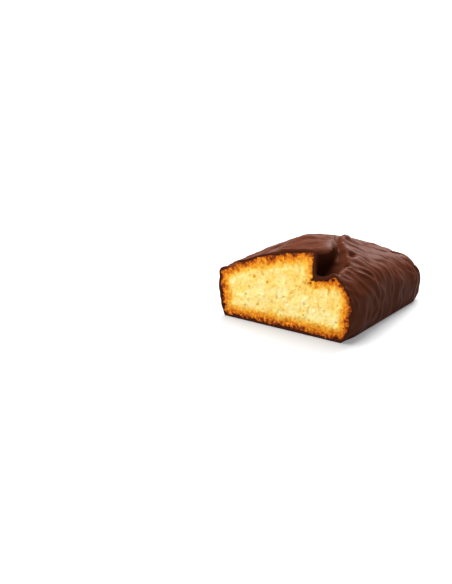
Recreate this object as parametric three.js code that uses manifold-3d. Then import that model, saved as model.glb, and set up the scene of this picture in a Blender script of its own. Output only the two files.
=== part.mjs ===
// Half of a small chocolate-coated loaf cake, cut straight across its middle and lying on its base.
// Two solids: the sponge, which shows its cut face, and the chocolate coating that wraps it all
// round but for that face. Units are millimetres. x runs across the loaf, y from the cut face to
// the far end, z up.
import * as THREE from 'three';
import { mergeVertices } from 'three/addons/utils/BufferGeometryUtils.js';
import Module from 'manifold-3d';

const wasm = await Module();
wasm.setup();

// ---- Driving dimensions ---------------------------------------------------------------------

const HALF_BASE = 20.8; // the foot of the loaf is twice this wide at the cut
const LENGTH = 49.8; // from the cut face to the far end

// The pan gave the sides a lean outwards. Each wall's foot to its widest point.
const LEFT_LEAN = 1.6;
const RIGHT_LEAN_AT_CUT = 3.0;
const RIGHT_LEAN_AT_END = 0.8;
const RIGHT_FOOT_SWELL = 0.9; // how far the right foot moves out behind the cut
const END_LEAN = 0.4;
const WIDEST_HEIGHT = 9; // where the right and far walls stand furthest out
const LEFT_WIDEST_HEIGHT = 13;
const FOOT_TUCK = 0.45; // the coating draws in just above the surface that the cake lies on
const FOOT_TUCK_HEIGHT = 0.7;

// Edge radii
const END_CORNER_RADIUS = 7; // upright corners of the far end
const LEFT_SHOULDER_RADIUS = 1.9;
const RIGHT_SHOULDER_RADIUS = 5;
const END_SHOULDER_RADIUS = 6.5;

// The baked top, as stations [distance behind the cut, size]: where its crest runs, the heights of
// the crest and of both edges, and how full the arch is on either side (1 is a plain wave, less
// is fuller)
const RIBS = {
  crestAcross: [[0, 9], [12, 6], [24, 2.5], [36, 1], [49, 0]],
  crest: [[0, 26.3], [12, 26.1], [24, 23.6], [36, 19.4], [49, 15.4]],
  leftEdge: [[0, 15.3], [12, 14.9], [24, 14.6], [36, 14.2], [49, 12.6]],
  rightEdge: [[0, 15.8], [12, 15.4], [24, 14.8], [36, 14.2], [49, 12.8]],
  leftFull: [[0, 1], [12, 0.8], [24, 0.7], [36, 0.75], [49, 0.8]],
  rightFull: [[0, 1], [12, 0.62], [24, 0.58], [36, 0.66], [49, 0.9]],
};
const ARCH_LEFT_FOOT = -24; // where the arch would come down on either side
const ARCH_RIGHT_FOOT = 26;

// A low hump on the right bank of the crack
const HUMP = { across: 8.8, back: 21.6, rise: 1.9, reachAcross: 2.7, reachBack: 5 };

// The crack that opened in the oven, as [distance behind the cut, size] stations. Its left bank
// is lifted and rolls over the hollow as a lip, its floor climbs backwards until the crack has
// run out, and its right bank is a slope.
const CRACK_LIP = [
  [-3, 12], [0, 12.3], [1.6, 14.7], [3, 15.2], [5.5, 14.6], [9.5, 12.8],
  [12, 10.9], [15, 8.5], [20, 5.3], [24, 3], [29, 0.4],
];
const CRACK_DEPTH = [
  [-3, 6.9], [0, 6.9], [3, 6.5], [6, 5.5], [9, 4.3], [12, 3.4], [15, 2.8], [20, 2], [25, 1.1], [31, -0.8],
];
const CRACK_UNDERCUT = [
  [-3, 0], [0, 0.2], [1.5, 2.4], [3, 3.4], [5, 3.2], [7, 1.6], [9, 0], [12, -1], [17, -1],
];
const CRACK_BANK_SLOPE = [[0, 0.62], [4, 0.6], [7, 0.42], [10, 0.25], [14, 0.3], [18, 0.75], [28, 0.8]];
const CRACK_WIDTH = [[0, 2.6], [8, 2.8], [14, 2.4], [20, 1.4]];
const LIP_LIFT = [
  [-3, 0.3], [0, 0.5], [1.6, 1.9], [3, 2.5], [5.5, 2.3], [9.5, 1.5], [12, 0.9], [15, 0.4], [21, 0],
];
const LIP_LIFT_LEFT = 4.5; // how far the lift reaches to either side of the lip
const LIP_LIFT_RIGHT = 1.6;
const LIP_THICKNESS = 1.3;
const LIP_ROLL = 2.2; // height over which the overhang forms under the lip
const CRACK_CORNER_RADIUS = 1.3;
const CRACK_BANK_RADIUS = 1;
const CRACK_EDGE_RADIUS = 0.8;

// Ripples that the setting chocolate left across the top and down the sides
const RIPPLE_SPACING = 3.4;
const RIPPLE_RELIEF = 0.22;
const RIPPLE_BOW = 1.6;
const RIPPLE_SLANT = 0.22;

// The coating and the sponge under it
const COATING = 0.9;
const GAP = 0.3; // clearance between the two solids
const CRACK_POOL = 0.25; // the coating is this much thicker on the crack's left wall,
const CRACK_POOL_FLOOR = 0.7; // and this much thicker on its floor

const OVERRUN = 1.6; // the forms run this far past the cut and below the base, then are trimmed
const TRIM_WIDTH = 80; // the block that they are trimmed with reaches past the cake all round
const TRIM_LENGTH = 70;
const TRIM_HEIGHT = 40;
const CELL_MARGIN = 0.04; // share of a grid cell that stays clear of points, along each side

// ---- Curves and rounded corners ---------------------------------------------------------------

const clamp = THREE.MathUtils.clamp;
const lerp = THREE.MathUtils.lerp;
const ease = THREE.MathUtils.smoothstep;

// A smooth curve through [station, value] pairs, flat beyond its ends
function through(knots) {
  const at = knots.map((k) => k[0]);
  const value = knots.map((k) => k[1]);
  const last = knots.length - 1;
  const slope = value.map((v, i) => {
    if (i === 0) return (value[1] - v) / (at[1] - at[0]);
    if (i === last) return (v - value[i - 1]) / (at[i] - at[i - 1]);
    const before = at[i] - at[i - 1];
    const after = at[i + 1] - at[i];
    const rise = (value[i + 1] - v) * (before / after) + (v - value[i - 1]) * (after / before);
    return rise / (before + after);
  });
  return (station) => {
    const s = clamp(station, at[0], at[last]);
    let i = 0;
    while (i < last - 1 && s > at[i + 1]) i += 1;
    const span = at[i + 1] - at[i];
    const t = (s - at[i]) / span;
    const u = 1 - t;
    return (
      (1 + 2 * t) * u * u * value[i] + t * u * u * span * slope[i] +
      t * t * (3 - 2 * t) * value[i + 1] - t * t * u * span * slope[i + 1]
    );
  };
}

// Where two solids overlap, with the edge between them rounded. Solids are given by a number that
// is negative inside, zero on the surface and about the distance to it elsewhere.
function overlap(a, b, radius) {
  const past = Math.hypot(Math.max(a + radius, 0), Math.max(b + radius, 0));
  return Math.min(Math.max(a + radius, b + radius), 0) + past - radius;
}

// ---- The form of the cake -----------------------------------------------------------------------

const rib = Object.fromEntries(
  Object.entries(RIBS).map(([name, knots]) => [name, through(knots)]),
);
const crackLip = through(CRACK_LIP);
const crackDepth = through(CRACK_DEPTH);
const crackUndercut = through(CRACK_UNDERCUT);
const crackBankSlope = through(CRACK_BANK_SLOPE);
const crackWidth = through(CRACK_WIDTH);
const lipLift = through(LIP_LIFT);

// A bell curve, 1 in the middle and low beyond `reach`
const bell = (distance, reach) => Math.exp(-((distance / reach) ** 2));

// Height of the baked top on either side of the crack
function topHeight(x, y) {
  const crestAcross = rib.crestAcross(y);
  const left = x < crestAcross;
  const foot = left ? ARCH_LEFT_FOOT : ARCH_RIGHT_FOOT;
  const out = clamp((x - crestAcross) / (foot - crestAcross), 0, 1);
  const edge = left ? rib.leftEdge(y) : rib.rightEdge(y);
  const full = left ? rib.leftFull(y) : rib.rightFull(y);
  const arch = (0.5 + 0.5 * Math.cos(Math.PI * out)) ** full;
  const hump = HUMP.rise * bell(x - HUMP.across, HUMP.reachAcross) * bell(y - HUMP.back, HUMP.reachBack);
  const pastLip = x - crackLip(y);
  const lift = lipLift(y) * bell(pastLip, pastLip < 0 ? LIP_LIFT_LEFT : LIP_LIFT_RIGHT);
  return edge + (rib.crest(y) - edge) * arch + hump + lift;
}

// The loaf as it would be without its crack
function wholeLoaf(x, y, z) {
  const up = Math.max(z, 0);
  const swell = 1 - (1 - Math.min(up / WIDEST_HEIGHT, 1)) ** 2;
  const tuck = FOOT_TUCK * Math.exp(-up / FOOT_TUCK_HEIGHT);
  const leftSwell = LEFT_LEAN * Math.sin((Math.PI / 2) * Math.min(up / LEFT_WIDEST_HEIGHT, 1));
  const rightLean = lerp(RIGHT_LEAN_AT_CUT, RIGHT_LEAN_AT_END, ease(y, 0, 34));
  const rightFoot = HALF_BASE + RIGHT_FOOT_SWELL * ease(y, 0, 7);
  const leftWall = -HALF_BASE - leftSwell + tuck - x;
  const rightWall = x - rightFoot - rightLean * swell + tuck;
  const endWall = y - LENGTH + END_LEAN * (1 - swell) + tuck;
  const sides = overlap(Math.max(leftWall, rightWall), endWall, END_CORNER_RADIUS);
  const shoulder = lerp(
    lerp(LEFT_SHOULDER_RADIUS, RIGHT_SHOULDER_RADIUS, ease(x, -8, 10)),
    END_SHOULDER_RADIUS,
    ease(y, 20, 44),
  );
  const top = (z - topHeight(x, y)) * 0.93; // near enough the distance, on slopes such as these
  return overlap(sides, top, shoulder);
}

// The hollow of the crack, widened by `wider` and deepened by `deeper`
function crackHollow(x, y, z, wider, deeper) {
  const lip = crackLip(y);
  const lipHeight = topHeight(lip, y);
  const underLip = lipHeight - LIP_THICKNESS;
  const undercut = crackUndercut(y) * (1 - ease(z, underLip - LIP_ROLL, underLip));
  const floor = lipHeight - crackDepth(y) - deeper;
  const slope = crackBankSlope(y);
  const leftWall = lip - undercut - wider - x;
  const bankFoot = lip + crackWidth(y) + wider;
  const rightBank = ((x - bankFoot) * slope - (z - floor)) / Math.hypot(1, slope);
  const trench = overlap(leftWall, floor - z, CRACK_CORNER_RADIUS);
  return overlap(trench, rightBank, CRACK_BANK_RADIUS);
}

// Ridges that run across the cake, bowed and uneven, and slant back as they go down the sides
function ripple(x, y, z) {
  const drop = Math.max(topHeight(x, y) - z, 0);
  const bow = RIPPLE_BOW * Math.sin(x / 6.3 + 0.6) + 0.7 * RIPPLE_BOW * Math.sin(x / 3.1 - y / 8.7);
  const phase = (2 * Math.PI * (y + bow - RIPPLE_SLANT * drop)) / RIPPLE_SPACING;
  const fade = ease(z, 0, 3);
  const strength = 0.65 + 0.35 * Math.sin(x / 4.3 + y / 5.9);
  return RIPPLE_RELIEF * strength * fade * (Math.sin(phase) + 0.45 * Math.sin(0.61 * phase + x / 5.1));
}

// The coated cake from outside
function coatedCake(x, y, z) {
  const cracked = overlap(wholeLoaf(x, y, z), -crackHollow(x, y, z, 0, 0), CRACK_EDGE_RADIUS);
  return cracked - ripple(x, y, z);
}

// The same form drawn in by `inset`, as the sponge under the coating is
function cakeUnderCoating(x, y, z, inset) {
  const hollow = crackHollow(x, y, z, inset + CRACK_POOL, inset + CRACK_POOL_FLOOR);
  return overlap(wholeLoaf(x, y, z) + inset, -hollow, CRACK_EDGE_RADIUS);
}

// ---- From form to solid -------------------------------------------------------------------------

// Grid lines from [start, end, step] stretches that follow on from each other
function gridLines(stretches) {
  const lines = [stretches[0][0]];
  for (const [start, end, step] of stretches) {
    const count = Math.round((end - start) / step);
    for (let i = 1; i <= count; i += 1) lines.push(start + ((end - start) * i) / count);
  }
  return lines;
}

// A closed surface round the places where form(x, y, z) is negative: one point in each grid cell
// that the surface passes through, drawn onto the surface and then `inset` below it, and one quad
// round each crossed edge.
function surfaceOf(form, [xs, ys, zs], inset = 0) {
  const [nx, ny, nz] = [xs.length, ys.length, zs.length];
  const node = (i, j, k) => (k * ny + j) * nx + i;
  const trimmed = (x, y, z) => Math.max(form(x, y, z), -OVERRUN - y, -OVERRUN - z);
  const value = new Float64Array(nx * ny * nz);
  for (let k = 0; k < nz; k += 1) {
    for (let j = 0; j < ny; j += 1) {
      for (let i = 0; i < nx; i += 1) value[node(i, j, k)] = trimmed(xs[i], ys[j], zs[k]);
    }
  }
  while (clearSaddles(value, [1, nx, nx * ny]));

  const points = [];
  const pointOfCell = new Int32Array(nx * ny * nz).fill(-1);
  const corner = [0, 1, 2, 3, 4, 5, 6, 7].map((c) => [c & 1, (c >> 1) & 1, (c >> 2) & 1]);
  const edges = [];
  for (let a = 0; a < 8; a += 1) {
    for (const bit of [1, 2, 4]) if (!(a & bit)) edges.push([a, a | bit]);
  }
  for (let k = 0; k < nz - 1; k += 1) {
    for (let j = 0; j < ny - 1; j += 1) {
      for (let i = 0; i < nx - 1; i += 1) {
        const sum = new THREE.Vector3();
        let crossings = 0;
        for (const [a, b] of edges) {
          const [pa, pb] = [corner[a], corner[b]].map(([di, dj, dk]) => ({
            value: value[node(i + di, j + dj, k + dk)],
            place: new THREE.Vector3(xs[i + di], ys[j + dj], zs[k + dk]),
          }));
          if (pa.value < 0 !== pb.value < 0) {
            sum.add(pa.place.lerp(pb.place, pa.value / (pa.value - pb.value)));
            crossings += 1;
          }
        }
        if (crossings > 0) {
          const cell = new THREE.Box3(
            new THREE.Vector3(xs[i], ys[j], zs[k]),
            new THREE.Vector3(xs[i + 1], ys[j + 1], zs[k + 1]),
          );
          pointOfCell[node(i, j, k)] = points.length;
          points.push(settle(trimmed, sum.divideScalar(crossings), cell, inset));
        }
      }
    }
  }

  const triangles = [];
  const addQuad = (cells, flip) => {
    const [a, b, c, d] = (flip ? [...cells].reverse() : cells).map((cell) => pointOfCell[cell]);
    if (points[a].distanceToSquared(points[c]) < points[b].distanceToSquared(points[d])) {
      triangles.push(a, b, c, a, c, d);
    } else {
      triangles.push(a, b, d, b, c, d);
    }
  };
  for (let k = 0; k < nz - 1; k += 1) {
    for (let j = 0; j < ny - 1; j += 1) {
      for (let i = 0; i < nx - 1; i += 1) {
        const inside = value[node(i, j, k)] < 0;
        if (inside !== value[node(i + 1, j, k)] < 0) {
          addQuad([node(i, j - 1, k - 1), node(i, j, k - 1), node(i, j, k), node(i, j - 1, k)], !inside);
        }
        if (inside !== value[node(i, j + 1, k)] < 0) {
          addQuad([node(i - 1, j, k - 1), node(i - 1, j, k), node(i, j, k), node(i, j, k - 1)], !inside);
        }
        if (inside !== value[node(i, j, k + 1)] < 0) {
          addQuad([node(i - 1, j - 1, k), node(i, j - 1, k), node(i, j, k), node(i - 1, j, k)], !inside);
        }
      }
    }
  }
  return solidOf(points.flatMap((p) => [p.x, p.y, p.z]), triangles);
}

// Where the corners of a grid square lie inside and outside by turns, two folds of the surface
// would share an edge. The corner nearest to the surface goes over to its other side.
function clearSaddles(value, strides) {
  let cleared = false;
  for (const [one, other] of [[0, 1], [1, 2], [2, 0]]) {
    const [u, v] = [strides[one], strides[other]];
    for (let n = 0; n + u + v < value.length; n += 1) {
      const square = [n, n + u, n + u + v, n + v];
      const inside = square.map((corner) => value[corner] < 0);
      if (inside[0] === inside[2] && inside[1] === inside[3] && inside[0] !== inside[1]) {
        const nearest = square.reduce((a, b) => (Math.abs(value[b]) < Math.abs(value[a]) ? b : a));
        value[nearest] = -value[nearest];
        cleared = true;
      }
    }
  }
  return cleared;
}

// How a form changes along x, y and z
function steepest(form, { x, y, z }) {
  const step = 0.02;
  return new THREE.Vector3(
    form(x + step, y, z) - form(x - step, y, z),
    form(x, y + step, z) - form(x, y - step, z),
    form(x, y, z + step) - form(x, y, z - step),
  ).divideScalar(2 * step);
}

// Moves a point that is near the surface onto it, as far as its own cell lets it go, and then
// below it by `inset`
function settle(form, point, cell, inset) {
  for (let round = 0; round < 3; round += 1) {
    const rise = steepest(form, point);
    const miss = form(point.x, point.y, point.z);
    point.add(rise.multiplyScalar(-miss / Math.max(rise.lengthSq(), 0.25)).clampLength(0, 0.4));
  }
  const size = cell.getSize(new THREE.Vector3());
  cell.expandByVector(size.multiplyScalar(-CELL_MARGIN)).clampPoint(point, point);
  return point.addScaledVector(steepest(form, point).normalize(), -inset);
}

function solidOf(coordinates, triangles) {
  return new wasm.Manifold(new wasm.Mesh({
    numProp: 3,
    vertProperties: new Float32Array(coordinates),
    triVerts: new Uint32Array(triangles),
  }));
}

// Everything behind `front` and above `base`
function keptBlock(front, base) {
  const block = new THREE.BoxGeometry(TRIM_WIDTH, TRIM_LENGTH, TRIM_HEIGHT);
  block.translate(0, front + TRIM_LENGTH / 2, base + TRIM_HEIGHT / 2);
  block.deleteAttribute('normal');
  block.deleteAttribute('uv');
  const merged = mergeVertices(block);
  return solidOf(merged.attributes.position.array, merged.index.array);
}

function meshOf(name, solid, material) {
  const { vertProperties, triVerts } = solid.getMesh();
  const geometry = new THREE.BufferGeometry();
  geometry.setAttribute('position', new THREE.BufferAttribute(vertProperties, 3));
  geometry.setIndex(new THREE.BufferAttribute(triVerts, 1));
  geometry.computeVertexNormals();
  const mesh = new THREE.Mesh(geometry, material);
  mesh.name = name;
  return mesh;
}

// ---- The two pieces -------------------------------------------------------------------------------

// Lines are closest together round the crack, and along the loaf where the ripples need them
const outerGrid = [
  gridLines([[-25.4, 3.2, 2.2], [3.2, 19, 1.12], [19, 27.4, 1.7]]),
  gridLines([[-3.1, 52.4, 1.0]]),
  gridLines([[-3.3, 16, 1.9], [16, 29, 1.3]]),
];
const innerGrid = [
  gridLines([[-25.4, 3.2, 2.8], [3.2, 19, 1.6], [19, 27.4, 2.4]]),
  gridLines([[-3.3, 52.4, 2.3]]),
  gridLines([[-3.3, 16, 2.2], [16, 29, 1.5]]),
];

const chocolate = new THREE.MeshStandardMaterial({ color: 0x45251a, roughness: 0.38, metalness: 0 });
const crumb = new THREE.MeshStandardMaterial({ color: 0xf8d878, roughness: 0.95, metalness: 0 });

const underCoating = (x, y, z) => cakeUnderCoating(x, y, z, COATING);
const cavity = surfaceOf(underCoating, innerGrid).intersect(keptBlock(-OVERRUN, COATING));
const coating = surfaceOf(coatedCake, outerGrid).intersect(keptBlock(0, 0)).subtract(cavity);
const sponge = surfaceOf(underCoating, innerGrid, GAP).intersect(keptBlock(0, COATING + GAP));

const cake = new THREE.Group();
cake.add(meshOf('chocolate_coating', coating, chocolate));
cake.add(meshOf('sponge', sponge, crumb));

// The cake stands on the origin, at the middle of its footprint's box
const extent = new THREE.Box3().setFromObject(cake);
const middle = extent.getCenter(new THREE.Vector3());
cake.position.set(-middle.x, -middle.y, 0);

const loaf = new THREE.Group();
loaf.add(cake);
export default loaf;
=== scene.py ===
import bpy
import numpy as np
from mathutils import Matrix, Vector


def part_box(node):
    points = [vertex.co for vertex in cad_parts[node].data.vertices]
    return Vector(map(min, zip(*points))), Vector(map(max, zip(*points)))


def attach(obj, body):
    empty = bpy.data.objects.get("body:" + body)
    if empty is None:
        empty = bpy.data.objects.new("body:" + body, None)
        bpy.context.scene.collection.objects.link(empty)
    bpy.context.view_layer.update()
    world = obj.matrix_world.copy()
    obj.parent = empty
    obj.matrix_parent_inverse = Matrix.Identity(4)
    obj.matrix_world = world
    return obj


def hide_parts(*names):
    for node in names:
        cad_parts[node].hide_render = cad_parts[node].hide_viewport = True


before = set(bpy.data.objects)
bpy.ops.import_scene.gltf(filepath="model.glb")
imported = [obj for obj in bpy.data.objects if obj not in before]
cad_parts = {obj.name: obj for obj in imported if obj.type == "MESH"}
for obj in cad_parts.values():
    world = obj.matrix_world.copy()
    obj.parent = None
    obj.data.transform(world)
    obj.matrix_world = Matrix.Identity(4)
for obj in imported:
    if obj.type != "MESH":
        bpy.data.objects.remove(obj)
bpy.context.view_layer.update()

# ---------------------------------------------------------------------------------------------
# Sponge. Yellow butter sponge, baked in a small loaf tin: its sides lean as the tin's do, and its
# top rose and cracked open along one side. It is cut straight across the middle, and this half
# shows its crumb, with the skin that the oven browned all round it.
# ---------------------------------------------------------------------------------------------

# Sizes are in millimetres in the loaf's own frame: x across, from the middle of its foot at the
# cut, y from the cut to the far end, z up from the base. A name that ends in OVER holds the two
# places between which one size turns into another.
MM = 0.001
LOAF_MIDDLE = 1.0  # the foot's middle at the cut to the middle of the whole width
HALF_BASE = 20.8
LENGTH = 49.8

LEFT_LEAN = 1.6
RIGHT_LEAN_AT_CUT = 3.0
RIGHT_LEAN_AT_END = 0.8
RIGHT_LEAN_OVER = (0, 34)  # back
RIGHT_FOOT_SWELL = 0.9
RIGHT_FOOT_SWELL_OVER = (0, 7)  # back
END_LEAN = 0.4
WIDEST_HEIGHT = 9.0
LEFT_WIDEST_HEIGHT = 13.0
FOOT_TUCK = 0.45
FOOT_TUCK_HEIGHT = 0.7
END_CORNER_RADIUS = 7.0
LEFT_SHOULDER_RADIUS = 1.9
RIGHT_SHOULDER_RADIUS = 5.0
SHOULDER_OVER = (-8, 10)  # across
END_SHOULDER_RADIUS = 6.5
END_SHOULDER_OVER = (20, 44)  # back
TOP_TILT = 0.93  # the top slopes, so a point is nearer to it than its height above it

# The top, as stations [distance behind the cut, size]. It arches from each edge to the crest, and
# an arch is the fuller the smaller its number.
CREST_ACROSS = [(0, 9), (12, 6), (24, 2.5), (36, 1), (49, 0)]
CREST = [(0, 26.3), (12, 26.1), (24, 23.6), (36, 19.4), (49, 15.4)]
LEFT_EDGE = [(0, 15.3), (12, 14.9), (24, 14.6), (36, 14.2), (49, 12.6)]
RIGHT_EDGE = [(0, 15.8), (12, 15.4), (24, 14.8), (36, 14.2), (49, 12.8)]
LEFT_FULL = [(0, 1), (12, 0.8), (24, 0.7), (36, 0.75), (49, 0.8)]
RIGHT_FULL = [(0, 1), (12, 0.62), (24, 0.58), (36, 0.66), (49, 0.9)]
ARCH_LEFT_FOOT = -24.0
ARCH_RIGHT_FOOT = 26.0
# At the cut the top is fuller on the left and lower beside the crack, as stations [x, height],
# and this is gone a little way behind it
CUT_SWELL = [
    (-20.5, 0), (-18.5, 0.5), (-16, 1.6), (-12.5, 1.55), (-9.4, 1.45), (-7.3, 1), (-5, 0.45),
    (-3, 0), (1, -0.5), (5, -0.9), (9.2, -0.75), (11.5, 0),
]
CUT_SWELL_OVER = (-2, 7)  # back
# A low hump on the crack's far bank
HUMP_ACROSS, HUMP_BACK, HUMP_RISE = 7.4, 21.6, 2.7
HUMP_REACH_ACROSS, HUMP_REACH_BACK = 2.5, 4.5

# The crack, as stations [distance behind the cut, size]
CRACK_LIP = [
    (-3, 11.8), (0, 12), (1.6, 14.3), (3, 14.6), (5.5, 14), (9.5, 12.5),
    (12, 10.9), (15, 8.5), (20, 5.3), (24, 3), (29, 0.4),
]
CRACK_DEPTH = [
    (-3, 6.9), (0, 6.9), (1.2, 8), (3, 8.8), (5, 8.3), (8, 6.6), (11, 5), (15, 3.3), (20, 1.8),
    (25, 0.6), (31, -0.9),
]
CRACK_UNDERCUT = [
    (-3, 0.2), (0, 0.3), (1, 2.2), (2, 3.6), (3, 4.2), (5, 4), (7, 2.6), (9, 0.8), (12, -0.6),
    (17, -1),
]
CRACK_BANK_SLOPE = [
    (0, 0.62), (1.5, 1.1), (3, 1.8), (5, 1.7), (8, 1), (11, 0.7), (18, 0.6), (28, 0.5),
]
CRACK_WIDTH = [(0, 2.6), (1.5, 1.5), (3, 1.3), (5.5, 2), (8, 2.3), (14, 1.6), (20, 0.6)]
LIP_LIFT = [
    (-3, 0.3), (0, 0.5), (1.6, 1.9), (3, 2.5), (5.5, 2.3), (9.5, 1.4), (12, 0.7), (15, 0.2),
    (21, 0),
]
LIP_LIFT_LEFT, LIP_LIFT_RIGHT = 4.5, 1.6  # how far the lift reaches on each side of the lip
LIP_THICKNESS = 0.3
LIP_ROLL = 0.5
CRACK_CORNER_RADIUS = 1.1
CRACK_BANK_RADIUS = 1.0
LIP_EDGE_RADIUS = 0.5  # sharp near the cut,
TAIL_EDGE_RADIUS = 1.8  # rounder along the crack's tail
TAIL_EDGE_OVER = (0.5, 11)  # back
BANK_EDGE_RADIUS = 1.1  # and along the bank
BANK_EDGE_OVER = (0.5, 3)  # to the right of the lip

RIM = 0.6  # how deep the sponge lies under the chocolate at the cut,
RIM_SCALLOP, RIM_SCALLOP_WIDTH = 0.25, 2.6  # give or take this, over this width
BASE_RIM = 0.85  # at the base,
BASE_SCALLOP = 1.8  # where it varies this many times as much,
COATING = 1.7  # and further in, where it doesn't show
COATING_OVER = (0.2, 1.6)  # back
CRACK_POOL = 0.35  # how much deeper behind the crack's left wall,
CRACK_POOL_FLOOR = 1.35  # and under its floor, where it gets shallower again to the right
CRACK_POOL_OVER = (11, 17)  # across
NOOK_DEPTH, NOOK_HEIGHT = 1.1, 1.3  # it also runs in under the foot of that wall
POOL_CORNER_RADIUS = 0.3
BASE_CORNER_RADIUS = 0.5

TINY = 1e-9  # keeps powers and divisions clear of nothing


def ease(value, start, end):
    """0 below start, 1 above end, and smooth between them."""
    t = np.clip((value - start) / (end - start), 0, 1)
    return t * t * (3 - 2 * t)


def blend(start, end, share):
    return start + (end - start) * share


def through(knots):
    """A smooth curve through (station, value) pairs, flat beyond its ends."""
    at, value = np.array(knots, float).T
    slope = np.gradient(value, at)

    def curve(station):
        s = np.clip(station, at[0], at[-1])
        i = np.clip(np.searchsorted(at, s, side="right") - 1, 0, len(at) - 2)
        span = at[i + 1] - at[i]
        t = (s - at[i]) / span
        u = 1 - t
        near = (1 + 2 * t) * u * u * value[i] + t * u * u * span * slope[i]
        far = t * t * (3 - 2 * t) * value[i + 1] - t * t * u * span * slope[i + 1]
        return near + far

    return curve


def overlap(a, b, radius):
    """Where two solids overlap, with the edge between them rounded. A solid is a number that is
    negative inside, zero on the surface and about the distance to it elsewhere."""
    past = np.hypot(np.maximum(a + radius, 0), np.maximum(b + radius, 0))
    return np.minimum(np.maximum(a + radius, b + radius), 0) + past - radius


def bell(distance, reach):
    """1 in the middle, and gone about twice the reach away from it."""
    return np.exp(-((distance / reach) ** 2))


crest_across, crest = through(CREST_ACROSS), through(CREST)
left_edge, right_edge = through(LEFT_EDGE), through(RIGHT_EDGE)
left_full, right_full = through(LEFT_FULL), through(RIGHT_FULL)
crack_lip, crack_depth = through(CRACK_LIP), through(CRACK_DEPTH)
crack_undercut, crack_width = through(CRACK_UNDERCUT), through(CRACK_WIDTH)
crack_bank_slope, lip_lift = through(CRACK_BANK_SLOPE), through(LIP_LIFT)
cut_swell = through(CUT_SWELL)


def top_height(x, y):
    """Height of the baked top on either side of the crack."""
    across = crest_across(y)
    left = x < across
    foot = np.where(left, ARCH_LEFT_FOOT, ARCH_RIGHT_FOOT)
    out = np.clip((x - across) / (foot - across), 0, 1)
    edge = np.where(left, left_edge(y), right_edge(y))
    full = np.where(left, left_full(y), right_full(y))
    arch = np.maximum(0.5 + 0.5 * np.cos(np.pi * out), TINY) ** full
    hump_across = HUMP_RISE * bell(x - HUMP_ACROSS, HUMP_REACH_ACROSS)
    hump = hump_across * bell(y - HUMP_BACK, HUMP_REACH_BACK)
    past_lip = x - crack_lip(y)
    lift = lip_lift(y) * bell(past_lip, np.where(past_lip < 0, LIP_LIFT_LEFT, LIP_LIFT_RIGHT))
    swell = cut_swell(x) * (1 - ease(y, *CUT_SWELL_OVER))
    return edge + (crest(y) - edge) * arch + hump + lift + swell


def whole_loaf(x, y, z):
    """The loaf as it would be without its crack."""
    up = np.maximum(z, 0)
    leaning = 1 - (1 - np.minimum(up / WIDEST_HEIGHT, 1)) ** 2
    tuck = FOOT_TUCK * np.exp(-up / FOOT_TUCK_HEIGHT)
    left_lean = LEFT_LEAN * np.sin(np.pi / 2 * np.minimum(up / LEFT_WIDEST_HEIGHT, 1))
    right_lean = blend(RIGHT_LEAN_AT_CUT, RIGHT_LEAN_AT_END, ease(y, *RIGHT_LEAN_OVER))
    right_foot = HALF_BASE + RIGHT_FOOT_SWELL * ease(y, *RIGHT_FOOT_SWELL_OVER)
    left_wall = -HALF_BASE - left_lean + tuck - x
    right_wall = x - right_foot - right_lean * leaning + tuck
    end_wall = y - LENGTH + END_LEAN * (1 - leaning) + tuck
    sides = overlap(np.maximum(left_wall, right_wall), end_wall, END_CORNER_RADIUS)
    side_shoulder = blend(LEFT_SHOULDER_RADIUS, RIGHT_SHOULDER_RADIUS, ease(x, *SHOULDER_OVER))
    shoulder = blend(side_shoulder, END_SHOULDER_RADIUS, ease(y, *END_SHOULDER_OVER))
    return overlap(sides, (z - top_height(x, y)) * TOP_TILT, shoulder)


def crack_hollow(x, y, z, wider=0, deeper=0, nook=0, corner_radius=CRACK_CORNER_RADIUS):
    """The hollow of the crack, widened by `wider` and deepened by `deeper`, with a nook of that
    depth under its left wall."""
    lip = crack_lip(y)
    lip_height = top_height(lip, y)
    under_lip = lip_height - LIP_THICKNESS
    undercut = crack_undercut(y) * (1 - ease(z, under_lip - LIP_ROLL, under_lip))
    floor = lip_height - crack_depth(y) - deeper
    slope = crack_bank_slope(y)
    left_wall = lip - undercut - wider - nook * (1 - ease(z - floor, 0, NOOK_HEIGHT)) - x
    bank_foot = lip + crack_width(y) + wider
    right_bank = ((x - bank_foot) * slope - (z - floor)) / np.hypot(1, slope)
    trench = overlap(left_wall, floor - z, corner_radius)
    return overlap(trench, right_bank, CRACK_BANK_RADIUS)


def crack_edge_radius(x, y):
    """How round the edge is where the crack opens in the top."""
    along_lip = blend(LIP_EDGE_RADIUS, TAIL_EDGE_RADIUS, ease(y, *TAIL_EDGE_OVER))
    return blend(along_lip, BANK_EDGE_RADIUS, ease(x - crack_lip(y), *BANK_EDGE_OVER))


LUMPS_IN_A_ROW = 32  # after this many, the pattern of lumps starts again


def lumps(x, y, z, size, seed):
    """Soft lumps and dips from -1 to 1, about `size` across, the same for the same seed."""
    table = np.random.default_rng(seed).uniform(-1, 1, (LUMPS_IN_A_ROW,) * 3)
    cell, fade = [], []
    for line in (x, y, z):
        low = np.floor(line / size)
        part = line / size - low
        cell.append(low.astype(int))
        fade.append(part ** 3 * (part * (6 * part - 15) + 10))
    total = 0
    for corner in range(8):
        step = [corner & 1, corner >> 1 & 1, corner >> 2 & 1]
        weight = 1
        for part, on in zip(fade, step):
            weight = weight * (part if on else 1 - part)
        index = tuple((low + on) % LUMPS_IN_A_ROW for low, on in zip(cell, step))
        total = total + weight * table[index]
    return total


SKIN_LUMP, SKIN_RELIEF = 0.9, 0.16  # the baked skin is a little uneven
SKIN_SEED, SCALLOP_SEED = 3, 4


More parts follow.
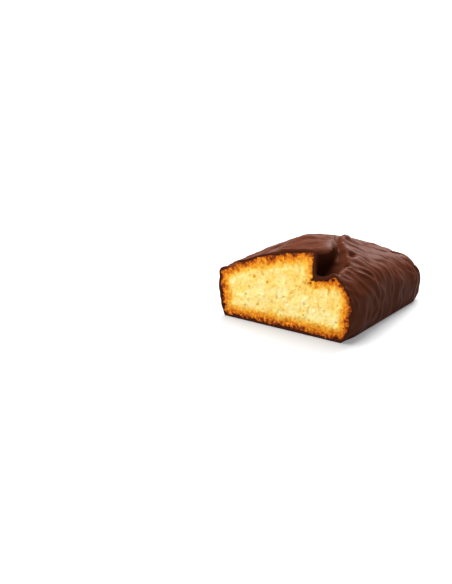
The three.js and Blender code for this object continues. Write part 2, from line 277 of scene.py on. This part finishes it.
def under_coating(x, y, z):
    """The sponge's whole outside, cut face apart. Also the inside of the chocolate."""
    further_in = ease(y, *COATING_OVER)
    scallop = RIM_SCALLOP * lumps(x, y, z, RIM_SCALLOP_WIDTH, SCALLOP_SEED) * (1 - further_in)
    inset = blend(RIM, COATING, further_in) + scallop
    pool = CRACK_POOL_FLOOR * (1 - ease(x, *CRACK_POOL_OVER))
    hollow = crack_hollow(x, y, z, inset + CRACK_POOL, inset + pool, NOOK_DEPTH, POOL_CORNER_RADIUS)
    baked = overlap(whole_loaf(x, y, z) + inset, -hollow, crack_edge_radius(x, y))
    base = blend(BASE_RIM, COATING, further_in) + BASE_SCALLOP * scallop
    baked = overlap(baked, base - z, BASE_CORNER_RADIUS)
    return baked + SKIN_RELIEF * (1 - further_in) * lumps(x, y, z, SKIN_LUMP, SKIN_SEED)


# The cut crumb: low lumps, pores and torn flecks, deeper where the knife went through the skin
CRUMB_SET_BACK = 0.1
CRUMB_LUMPS = [(2.2, 0.1), (1.1, 0.14), (0.6, 0.2)]  # size and height
PORES = [(1.6, 0.9, 0.66), (0.85, 0.8, 0.55)]  # size, depth, and how rare they are
PORE_SLIMNESS = 0.6  # how wide they are for how far they go in
TEAR_SIZE, TEAR_DEPTH = 0.6, 0.35
TEAR_OVER = (0.3, 2.6)  # below the skin
CRUMB_SEED, PORE_SEED, TEAR_SEED = 20, 30, 40
CUT_EDGE_RADIUS = 0.15


def cut_sponge(x, y, z):
    """The half sponge, with its cut face."""
    baked = under_coating(x, y, z)
    face = CRUMB_SET_BACK
    for n, (size, height) in enumerate(CRUMB_LUMPS):
        face = face + height * lumps(x, y, z, size, CRUMB_SEED + n)
    for n, (size, depth, rare) in enumerate(PORES):
        face = face + depth * ease(lumps(x, PORE_SLIMNESS * y, z, size, PORE_SEED + n), rare, 1)
    in_crust = 1 - ease(-baked, *TEAR_OVER)
    face = face + TEAR_DEPTH * in_crust * lumps(x, y, z, TEAR_SIZE, TEAR_SEED)
    return overlap(baked, face - y, CUT_EDGE_RADIUS)


def grid_lines(*stretches):
    """Grid lines from (start, end, step) stretches that follow on from each other."""
    lines = [
        np.linspace(start, end, round((end - start) / step), endpoint=False)
        for start, end, step in stretches
    ]
    return np.append(np.concatenate(lines), stretches[-1][1])


def untangle(value):
    """Where the corners of a grid square lie inside and outside by turns, two folds of the surface
    would share an edge. The inside corner nearest to the surface goes outside."""
    tangled_somewhere = True
    while tangled_somewhere:
        flip = np.zeros(value.shape, bool)
        for u, v in ((0, 1), (1, 2), (2, 0)):
            squares = []
            for du, dv in ((0, 0), (1, 0), (1, 1), (0, 1)):
                window = [slice(None)] * 3
                window[u] = slice(du, value.shape[u] - 1 + du)
                window[v] = slice(dv, value.shape[v] - 1 + dv)
                squares.append(tuple(window))
            inside = [value[square] < 0 for square in squares]
            opposite = (inside[0] == inside[2]) & (inside[1] == inside[3])
            tangled = opposite & (inside[0] != inside[1])
            depths = [np.where(i, value[square], -np.inf) for i, square in zip(inside, squares)]
            nearest = np.argmax(depths, axis=0)
            for n, square in enumerate(squares):
                flip[square] |= tangled & (nearest == n)
        value[flip] *= -1
        tangled_somewhere = flip.any()


PROBE = 0.02  # how far to each side the slope of a form is felt for
FLATTEST = 0.25  # the least that the square of that slope counts for
FARTHEST_MOVE = 0.12
SETTLING_ROUNDS = 2


def settled(form, points):
    """Draws points that are near the surface onto it."""
    for _ in range(SETTLING_ROUNDS):
        rise = np.empty_like(points)
        for axis in range(3):
            ahead, behind = points.copy(), points.copy()
            ahead[:, axis] += PROBE
            behind[:, axis] -= PROBE
            rise[:, axis] = (form(*ahead.T) - form(*behind.T)) / (2 * PROBE)
        move = -form(*points.T) / np.maximum((rise ** 2).sum(1), FLATTEST)
        shift = rise * move[:, None]
        length = np.linalg.norm(shift, axis=1, keepdims=True)
        points = points + shift * np.minimum(1, FARTHEST_MOVE / np.maximum(length, TINY))
    return points


def skin_of(form, lines):
    """The closed surface where form is zero: a point in each grid cell that it passes through,
    drawn onto it, and a quad round each grid edge that it crosses."""
    value = form(*np.meshgrid(*lines, indexing="ij"))
    untangle(value)
    cells = tuple(n - 1 for n in value.shape)
    total = np.zeros(cells + (3,))
    count = np.zeros(cells)
    crossed = []
    for axis in range(3):
        others = [(axis + 1) % 3, (axis + 2) % 3]
        start = np.moveaxis(value, axis, 0)[:-1]
        end = np.moveaxis(value, axis, 0)[1:]
        crossing = np.moveaxis((start < 0) != (end < 0), 0, axis)
        part = np.moveaxis(start / np.where(start == end, 1, start - end), 0, axis)
        crossed.append(crossing)
        shape = [1, 1, 1]
        shape[axis] = -1
        low = lines[axis][:-1].reshape(shape)
        along = low + part * np.diff(lines[axis]).reshape(shape)
        for corner in range(4):
            sides = list(zip(others, (corner & 1, corner >> 1)))
            window = [slice(None)] * 3
            for other, on in sides:
                window[other] = slice(on, cells[other] + on)
            hit = crossing[tuple(window)]
            count += hit
            total[..., axis] += np.where(hit, along[tuple(window)], 0)
            for other, on in sides:
                shape = [1, 1, 1]
                shape[other] = -1
                beside = lines[other][on:cells[other] + on].reshape(shape)
                total[..., other] += np.where(hit, beside, 0)
    active = count > 0
    points = total[active] / count[active][:, None]
    number = np.full(cells, -1)
    number[active] = np.arange(len(points))

    quads = []
    for axis in range(3):
        b, c = (axis + 1) % 3, (axis + 2) % 3
        edge = np.argwhere(crossed[axis])
        around = []
        for db, dc in ((-1, -1), (0, -1), (0, 0), (-1, 0)):
            cell = edge.copy()
            cell[:, b] += db
            cell[:, c] += dc
            around.append(number[tuple(cell.T)])
        quad = np.stack(around, axis=1)
        inside = value[tuple(edge.T)] < 0
        quads.append(np.where(inside[:, None], quad, quad[:, ::-1]))
    return settled(form, points), np.concatenate(quads)


cut_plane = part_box("chocolate_coating")[0].y
loaf_to_part = np.array([-LOAF_MIDDLE, cut_plane / MM, 0])


def piece_of(name, points, quads, material):
    """A smooth-shaded object from a surface in the loaf's frame."""
    mesh = bpy.data.meshes.new(name)
    mesh.from_pydata(((points + loaf_to_part) * MM).tolist(), [], quads.tolist())
    mesh.validate()
    mesh.shade_smooth()
    mesh.materials.append(material)
    piece = bpy.data.objects.new(name, mesh)
    bpy.context.scene.collection.objects.link(piece)
    return piece


def linear(hex_colour):
    """An sRGB hex value as linear red, green, blue and alpha."""
    srgb = [int(hex_colour[i:i + 2], 16) / 255 for i in (1, 3, 5)]
    return [c / 12.92 if c <= 0.04045 else ((c + 0.055) / 1.055) ** 2.4 for c in srgb] + [1]


def add_node(material, kind, settings=None, links=None):
    """Adds a shader node, sets its sockets or properties, and links its inputs."""
    made = material.node_tree.nodes.new("ShaderNode" + kind)
    for name, value in (settings or {}).items():
        if isinstance(name, str) and hasattr(made, name):
            setattr(made, name, value)
        else:
            made.inputs[name].default_value = value
    for socket, source in (links or {}).items():
        material.node_tree.links.new(source, made.inputs[socket])
    return made


# Baked butter sponge, cut with a sharp knife: a matt, open crumb, pale yellow inside and going
# through orange to dark brown over the last 4 or 5 mm below the skin.
baked_sponge = bpy.data.materials.new("baked butter sponge, cut")
baked_sponge.use_nodes = True
baked_sponge.node_tree.nodes.clear()
# How deep below the skin the crumb has each colour
SHADES = [
    (0, "#74300a"), (0.5, "#b2550c"), (1.2, "#d57412"), (2, "#e89620"), (3, "#f2b842"),
    (4, "#f8d97c"), (5, "#fceaa8"),
]
DEEPEST_SHADE = 5.0
CRUMB_GRAIN = 0.5  # the finest crumb, drawn about twice as coarse as it is so that it shows
CRUMB_GRAIN_RELIEF = 0.12
below_skin = add_node(baked_sponge, "Attribute", {"attribute_name": "below_skin"})
depth_share = add_node(
    baked_sponge, "Math", {"operation": "DIVIDE", 1: DEEPEST_SHADE, "use_clamp": True},
    {0: below_skin.outputs["Fac"]},
)
browning = add_node(baked_sponge, "ValToRGB", {}, {"Fac": depth_share.outputs[0]})
ramp = browning.color_ramp
while len(ramp.elements) < len(SHADES):
    ramp.elements.new(0.5)
for element, (depth, colour) in zip(ramp.elements, SHADES):
    element.position = depth / DEEPEST_SHADE
    element.color = linear(colour)
sponge_coordinates = add_node(baked_sponge, "TexCoord")
grain = add_node(
    baked_sponge, "TexNoise", {"Scale": 1 / (CRUMB_GRAIN * MM), "Detail": 4.0},
    {"Vector": sponge_coordinates.outputs["Object"]},
)
crumb_grain = add_node(
    baked_sponge, "Bump", {"Strength": 0.6, "Distance": CRUMB_GRAIN_RELIEF * MM},
    {"Height": grain.outputs["Fac"]},
)
sponge_surface = add_node(
    baked_sponge, "BsdfPrincipled",
    {"Roughness": 0.85, "IOR": 1.4, "Specular IOR Level": 0.2},
    {"Base Color": browning.outputs["Color"], "Normal": crumb_grain.outputs["Normal"]},
)
add_node(baked_sponge, "OutputMaterial", {}, {"Surface": sponge_surface.outputs[0]})

CRACK_SKIN_DEPTH = 1.0  # the crack opened late, so its skin is as pale as the crumb this far in
PALE_CRUMB = 4.2  # from here in, the crumb is the same throughout, apart from the mottling
CRUST_OVER = (1, PALE_CRUMB)  # below the skin
# Mottling, as a change of depth: size, how much in the crumb, how much in the crust
MOTTLING = [(3.5, 0.6, 0.3), (1.6, 0.35, 0.5), (0.8, 0.3, 0.7), (0.45, 0.4, 1.1)]
MOTTLING_SEED = 70


def browned_depth(x, y, z):
    """How far below the browned skin the sponge looks, with its mottling."""
    below_outside = np.minimum(-whole_loaf(x, y, z) - RIM, z - BASE_RIM)
    crack = crack_hollow(x, y, z, RIM + CRACK_POOL, RIM + CRACK_POOL_FLOOR)
    depth = np.clip(np.minimum(below_outside, CRACK_SKIN_DEPTH + crack), 0, PALE_CRUMB)
    in_crust = 1 - ease(depth, *CRUST_OVER)
    for n, (size, crumb_swing, crust_swing) in enumerate(MOTTLING):
        swing = blend(crumb_swing, crust_swing, in_crust)
        depth = depth + swing * lumps(x, y, z, size, MOTTLING_SEED + n)
    return depth


# Grid lines across, back and up, coarse behind the cut face, where the coating hides the sponge
sponge_lines = [
    grid_lines((-24.0, 25.0, 0.26)),
    grid_lines((-1.0, 1.4, 0.2), (1.4, 52.0, 2.4)),
    grid_lines((-0.6, 29.5, 0.26)),
]
sponge_points, sponge_quads = skin_of(cut_sponge, sponge_lines)
sponge = piece_of("sponge_crumb", sponge_points, sponge_quads, baked_sponge)
depth_below = sponge.data.attributes.new("below_skin", "FLOAT", "POINT")
depth_below.data.foreach_set("value", browned_depth(*sponge_points.T))
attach(sponge, "root")
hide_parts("sponge")

# ---------------------------------------------------------------------------------------------
# Chocolate coating. Milk chocolate that was poured over the baked loaf and shaken and blown off
# again, which left ripples across the top that run down the sides. The base was dipped. Its rim
# shows at the cut, under a millimetre thick, and thicker where it pooled in the crack.
# ---------------------------------------------------------------------------------------------

RIPPLE_SPACING, RIPPLE_RELIEF = 2.8, 0.3  # on the top
EVEN_RIPPLE, BROKEN_RIPPLE = 0.15, 1.3  # how much of them is regular, and how much isn't
RIPPLE_STRETCH = 2.6  # how much longer than wide they are
LEFT_RIPPLE_SHARE = 0.6  # they are this much of their height on the left,
LEFT_RIPPLE_OVER = (-4, 12)  # across
SIDE_FINE_SHARE = 0.15  # and all but gone on the sides,
ON_SIDE_OVER = (0.5, 5)  # down from the top
SIDE_RIPPLE_SPACING, SIDE_RIPPLE_RELIEF = 5.4, 0.5  # where they run together in broader ones
SIDE_RIPPLES = [(0.6, 1), (0.3, 0.5)]  # size, as a share of that spacing, and height
SIDE_RIPPLE_STRETCH = 2
TOP_BROAD_SHARE = 0.3  # the broader ones are this much of their height on the top
RIPPLE_BOWS = [(10.0, 2.0), (4.5, 1.3)]  # over what size the ripples bow, and how far
RIPPLE_TURN, RIPPLE_TURN_FROM = 0.85, 9.0  # to the right of here they turn towards the far end
RIPPLE_SLANT, RIPPLE_SLANT_DROP = 0.5, 4.0  # and again over the shoulder
SWELLS = [(8.0, 0.24), (3.6, 0.12)]  # size and height of the unevenness under the ripples
BOW_SEED, RIPPLE_SEED, SIDE_RIPPLE_SEED, SWELL_SEED = 50, 52, 53, 60
FOOT_FADE_OVER = (0, 2.5)  # all of it fades towards the foot, up,
CRACK_RIPPLE_SHARE = 0.15  # and in the crack, down to this,
CRACK_FADE_OVER = (0.2, 2.5)  # out from its hollow,
TAIL_FADE_OVER = (7, 13)  # but not in its tail, back
# Dimples that air bubbles left on the crack's right bank: x, y, radius across, radius back, depth
DIMPLES = [(17.0, 8.2, 0.75, 0.8, 1.55), (15.5, 13.6, 0.8, 1.3, 1.4)]
FOOT_ROUNDING, CUT_FOOT_ROUNDING = 0.5, 0.2
FOOT_ROUNDING_OVER = (0.5, 4)  # back
RIM_ROUNDING = 0.22


def ripples(x, y, z):
    """Height of the ripples that the setting chocolate left."""
    drop = np.maximum(top_height(x, y) - z, 0)
    bow = sum(far * lumps(x, y, z, size, BOW_SEED + n) for n, (size, far) in enumerate(RIPPLE_BOWS))
    across = RIPPLE_TURN * np.maximum(x - RIPPLE_TURN_FROM, 0)
    down = RIPPLE_SLANT * RIPPLE_SLANT_DROP * (1 - np.exp(-drop / RIPPLE_SLANT_DROP))
    run = y + bow - across - down  # from one ripple to the next
    long_x, long_z = x / RIPPLE_STRETCH, z / RIPPLE_STRETCH
    even = EVEN_RIPPLE * np.sin(2 * np.pi * run / RIPPLE_SPACING)
    fine = even + BROKEN_RIPPLE * lumps(run, long_x, long_z, RIPPLE_SPACING / 2, RIPPLE_SEED)
    long_x, long_z = x / SIDE_RIPPLE_STRETCH, z / SIDE_RIPPLE_STRETCH
    broad = 0
    for n, (share, height) in enumerate(SIDE_RIPPLES):
        size = share * SIDE_RIPPLE_SPACING
        broad = broad + height * lumps(run, long_x, long_z, size, SIDE_RIPPLE_SEED + n)
    on_side = ease(drop, *ON_SIDE_OVER)
    on_right = ease(x, *LEFT_RIPPLE_OVER)
    top_relief = RIPPLE_RELIEF * blend(LEFT_RIPPLE_SHARE, 1, on_right)
    fine_relief = top_relief * blend(1, SIDE_FINE_SHARE, on_side)
    broad_relief = SIDE_RIPPLE_RELIEF * blend(TOP_BROAD_SHARE, 1, on_side)
    swells = sum(high * lumps(x, y, z, size, SWELL_SEED + n) for n, (size, high) in enumerate(SWELLS))
    relief = fine_relief * fine + broad_relief * broad + swells
    off_crack = np.maximum(ease(crack_hollow(x, y, z), *CRACK_FADE_OVER), ease(y, *TAIL_FADE_OVER))
    return relief * ease(z, *FOOT_FADE_OVER) * blend(CRACK_RIPPLE_SHARE, 1, off_crack)


def coated_loaf(x, y, z):
    """The coated loaf from outside."""
    cracked = overlap(whole_loaf(x, y, z), -crack_hollow(x, y, z), crack_edge_radius(x, y))
    smooth = cracked - ripples(x, y, z)
    for across, back, reach_across, reach_back, depth in DIMPLES:
        smooth = smooth + depth * bell(x - across, reach_across) * bell(y - back, reach_back)
    foot_rounding = blend(CUT_FOOT_ROUNDING, FOOT_ROUNDING, ease(y, *FOOT_ROUNDING_OVER))
    return overlap(smooth, -z, foot_rounding)


def coating_shell(x, y, z):
    """The chocolate between the coated loaf's outside and the sponge, open at the cut."""
    shell = np.maximum(coated_loaf(x, y, z), -under_coating(x, y, z))
    return overlap(shell, -y, RIM_ROUNDING)


# Tempered milk chocolate, set in air: a satin gloss, hazed in patches by cocoa butter. Its warm,
# faint reflection keeps it a deep brown where the light comes from behind.
milk_chocolate = bpy.data.materials.new("milk chocolate, air-set")
milk_chocolate.use_nodes = True
milk_chocolate.node_tree.nodes.clear()
HAZE_PATCH = 5  # how wide the hazed patches are
CLEAR_ROUGHNESS, HAZED_ROUGHNESS = 0.34, 0.48
SET_GRAIN = 0.9  # the grain of the set skin, drawn coarser than it is so that it shows
SET_GRAIN_RELIEF = 0.06
chocolate_coordinates = add_node(milk_chocolate, "TexCoord")
haze = add_node(
    milk_chocolate, "TexNoise", {"Scale": 1 / (HAZE_PATCH * MM), "Detail": 4.0},
    {"Vector": chocolate_coordinates.outputs["Object"]},
)
tone = add_node(
    milk_chocolate, "Mix", {"data_type": "RGBA", 6: linear("#401f13"), 7: linear("#482417")},
    {0: haze.outputs["Fac"]},
)
sheen = add_node(
    milk_chocolate, "MapRange",
    {"From Min": 0.3, "From Max": 0.7, "To Min": CLEAR_ROUGHNESS, "To Max": HAZED_ROUGHNESS},
    {"Value": haze.outputs["Fac"]},
)
set_grain = add_node(
    milk_chocolate, "TexNoise", {"Scale": 1 / (SET_GRAIN * MM), "Detail": 3.0},
    {"Vector": chocolate_coordinates.outputs["Object"]},
)
set_skin = add_node(
    milk_chocolate, "Bump", {"Strength": 0.5, "Distance": SET_GRAIN_RELIEF * MM},
    {"Height": set_grain.outputs["Fac"]},
)
chocolate_surface = add_node(
    milk_chocolate, "BsdfPrincipled",
    {"IOR": 1.46, "Specular IOR Level": 0.01, "Specular Tint": linear("#ff9c78")},
    {
        "Base Color": tone.outputs[2], "Roughness": sheen.outputs["Result"],
        "Normal": set_skin.outputs["Normal"],
    },
)
add_node(milk_chocolate, "OutputMaterial", {}, {"Surface": chocolate_surface.outputs[0]})

# Grid lines across, back and up, finest at the rim and round the crack
coating_lines = [
    grid_lines((-24.2, 9.0, 0.45), (9.0, 19.0, 0.35), (19.0, 25.6, 0.4)),
    grid_lines((-0.7, 2.3, 0.3), (2.3, 14.0, 0.39), (14.0, 51.5, 0.5)),
    grid_lines((-0.7, 16.0, 0.45), (16.0, 29.5, 0.36)),
]
coating_points, coating_quads = skin_of(coating_shell, coating_lines)
coating = piece_of("chocolate_shell", coating_points, coating_quads, milk_chocolate)
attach(coating, "root")
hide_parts("chocolate_coating")

# ---------------------------------------------------------------------------------------------
# The table it lies on, and the light. A plain matt table, with a large soft light above it and a
# little to the left, a smaller one behind, and a weak one at the front left.
# ---------------------------------------------------------------------------------------------

# Matt paint. It is a mid-grey that the light and a faint glow lift until it shows white, so that
# it throws little light back onto the sides of the loaf.
matt_paint = bpy.data.materials.new("matt paint")
matt_paint.use_nodes = True
matt_paint.node_tree.nodes.clear()
paint_surface = add_node(
    matt_paint, "BsdfPrincipled",
    {
        "Base Color": linear("#9d9d9d"), "Roughness": 0.9, "Specular IOR Level": 0.0,
        "Emission Color": linear("#ffffff"), "Emission Strength": 0.26,
    },
)
add_node(matt_paint, "OutputMaterial", {}, {"Surface": paint_surface.outputs[0]})

TABLE_REACH = 4.0  # metres, past the edges of the view
TABLE_CORNERS = [(-1, -1), (1, -1), (1, 1), (-1, 1)]
table_mesh = bpy.data.meshes.new("table")
table_mesh.from_pydata(
    [(across * TABLE_REACH, back * TABLE_REACH, 0) for across, back in TABLE_CORNERS],
    [], [(0, 1, 2, 3)],
)
table_mesh.materials.append(matt_paint)
table = bpy.data.objects.new("table", table_mesh)
bpy.context.scene.collection.objects.link(table)


def soft_light(name, place, aim, size, power):
    """A round soft light. Its place, aim and width are in metres and its power is in watts."""
    light = bpy.data.lights.new(name, "AREA")
    light.shape = "DISK"
    light.size = size
    light.energy = power
    lamp = bpy.data.objects.new(name, light)
    lamp.location = place
    lamp.rotation_euler = (Vector(aim) - Vector(place)).to_track_quat("-Z", "Y").to_euler()
    bpy.context.scene.collection.objects.link(lamp)


# The one behind draws the shine along the ripples, and the weak one lifts the cut face a little
soft_light("overhead", place=(-0.65, 0.3, 2.35), aim=(0, 0.2, 0), size=2.4, power=156)
soft_light("back", place=(-0.1, 0.64, 0.46), aim=(0, 0, 0.01), size=0.6, power=17)
soft_light("front left", place=(-0.35, -0.6, 0.4), aim=(0, 0, 0.01), size=0.5, power=2.7)

# A weak light from all round keeps the shadows soft
world = bpy.data.worlds.new("studio")
world.use_nodes = True
background = world.node_tree.nodes["Background"]
background.inputs["Color"].default_value = (1, 1, 1, 1)
background.inputs["Strength"].default_value = 0.2
bpy.context.scene.world = world

# The camera stands in front of the cut and to the right of it, a little above. Its place is in
# metres, and its tilt up from straight down and its turn to the left are in degrees.
CAMERA_PLACE = (0.19431, -0.33211, 0.13896)
CAMERA_TILT, CAMERA_TURN = 70.7, 35.01
camera_data = bpy.data.cameras.new("camera")
camera_data.lens = 80.94
camera_data.sensor_width = 36
camera = bpy.data.objects.new("camera", camera_data)
camera.location = CAMERA_PLACE
camera.rotation_euler = (np.radians(CAMERA_TILT), 0, np.radians(CAMERA_TURN))
bpy.context.scene.collection.objects.link(camera)
bpy.context.scene.camera = camera
bpy.context.scene.view_settings.view_transform = "Standard"
